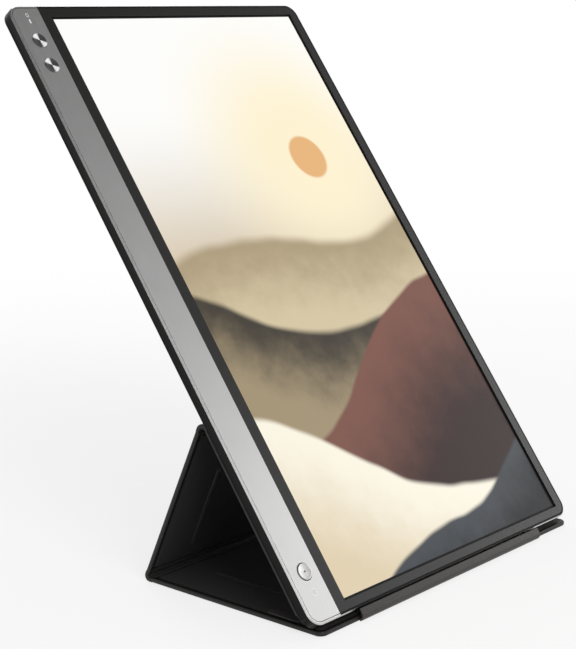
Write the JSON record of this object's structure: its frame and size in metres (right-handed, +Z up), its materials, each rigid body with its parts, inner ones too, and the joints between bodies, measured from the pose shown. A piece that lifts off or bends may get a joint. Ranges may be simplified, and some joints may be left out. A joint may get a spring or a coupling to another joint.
{
  "type": "portable monitor with folding cover",
  "caption": "Slim portable monitor with a metal control strip, leaning on a folding leather cover that makes a three-sided stand with a front lip.",
  "frame": {"origin": "middle of the folded base's underside, on the surface that it rests on", "axes": "+X to the right across the front, +Y to the back, +Z up; the screen leans back at 54 degrees from level and faces -Y"},
  "size_m": [0.208, 0.1971, 0.2674],
  "materials": {
    "painted_frame": "dark satin paint with a polished front chamfer",
    "rear_shell": "fine textured dark grey",
    "bezel_plastic": "smooth matte dark grey",
    "brushed_strip": "satin brushed",
    "display_glass": "semi-matte screen with a lit picture",
    "guide_acrylic": "clear moulded",
    "reflector_steel": "thin bright sheet",
    "board_green": "green solder mask",
    "shield_tin": "tinned sheet",
    "switch_plastic": "moulded black",
    "ribbon_film": "amber film",
    "socket_steel": "drawn steel shell",
    "lens_plastic": "frosted clear lens",
    "screw_steel": "plated",
    "holding_steel": "stamped plate",
    "turned_metal": "spun end face",
    "cover_leather": "fine pebbled grain, satin",
    "cover_lining": "smooth microfibre",
    "stiff_card": "dense grey-brown card",
    "magnet_nickel": "nickel plated"
  },
  "bodies": {
    "base": {"base_skin": "cover_leather", "base_board": "stiff_card", "base_lining": "cover_lining", "base_magnets": "magnet_nickel", "back_fold": "cover_leather", "lip_fold": "cover_leather"},
    "lip": {"lip_skin": "cover_leather", "lip_core": "stiff_card"},
    "back": {"back_skin": "cover_leather", "back_board": "stiff_card", "back_lining": "cover_lining", "top_fold": "cover_leather"},
    "rest": {"rest_skin": "cover_leather", "rest_board": "stiff_card", "rest_lining": "cover_lining", "rest_magnets": "magnet_nickel"},
    "monitor": {"side_frame": "painted_frame", "rear_cover": "rear_shell", "front_bezel": "bezel_plastic", "front_strip": "brushed_strip", "display_panel": "display_glass", "light_guide": "guide_acrylic", "reflector_plate": "reflector_steel", "light_bar": "board_green", "upper_board": "board_green", "main_board": "board_green", "power_board": "board_green", "shield_can": "shield_tin", "key_switches": "switch_plastic", "panel_ribbon": "ribbon_film", "type_c_socket": "socket_steel", "indicator_lens": "lens_plastic", "board_screws": "screw_steel", "holding_plates": "holding_steel"},
    "upper_key": {"menu_button_upper": "turned_metal"},
    "lower_key": {"menu_button_lower": "turned_metal"},
    "power_key": {"power_button": "turned_metal"}
  },
  "joints": [
    {"name": "lip_crease", "type": "hinge", "parent": "base", "child": "lip", "pos_m": [0, -0.0545, 0.002], "axis": [1, 0, 0], "range_deg": [0, 89], "deforming": ["lip_fold"]},
    {"name": "back_crease", "type": "hinge", "parent": "base", "child": "back", "pos_m": [0.0016, 0.0517, 0.0028], "axis": [1, 0, 0], "range_deg": [-114, 0], "deforming": ["back_fold"]},
    {"name": "top_crease", "type": "hinge", "parent": "back", "child": "rest", "pos_m": [0.0016, 0.01561, 0.07946], "axis": [1, 0, 0], "range_deg": [-119, 0], "deforming": ["top_fold"]},
    {"name": "monitor_lift", "type": "slide", "parent": "rest", "child": "monitor", "axis": [0, 0.5878, 0.809], "range_m": [0, 0.12]},
    {"name": "upper_key_press", "type": "slide", "parent": "monitor", "child": "upper_key", "axis": [0, 0.809, -0.5878], "range_m": [0, 0.00035], "stiffness_N_per_m": 400, "springref_m": -0.001},
    {"name": "lower_key_press", "type": "slide", "parent": "monitor", "child": "lower_key", "axis": [0, 0.809, -0.5878], "range_m": [0, 0.00035], "stiffness_N_per_m": 400, "springref_m": -0.001},
    {"name": "power_key_press", "type": "slide", "parent": "monitor", "child": "power_key", "axis": [0, 0.809, -0.5878], "range_m": [0, 0.00035], "stiffness_N_per_m": 400, "springref_m": -0.001}
  ]
}
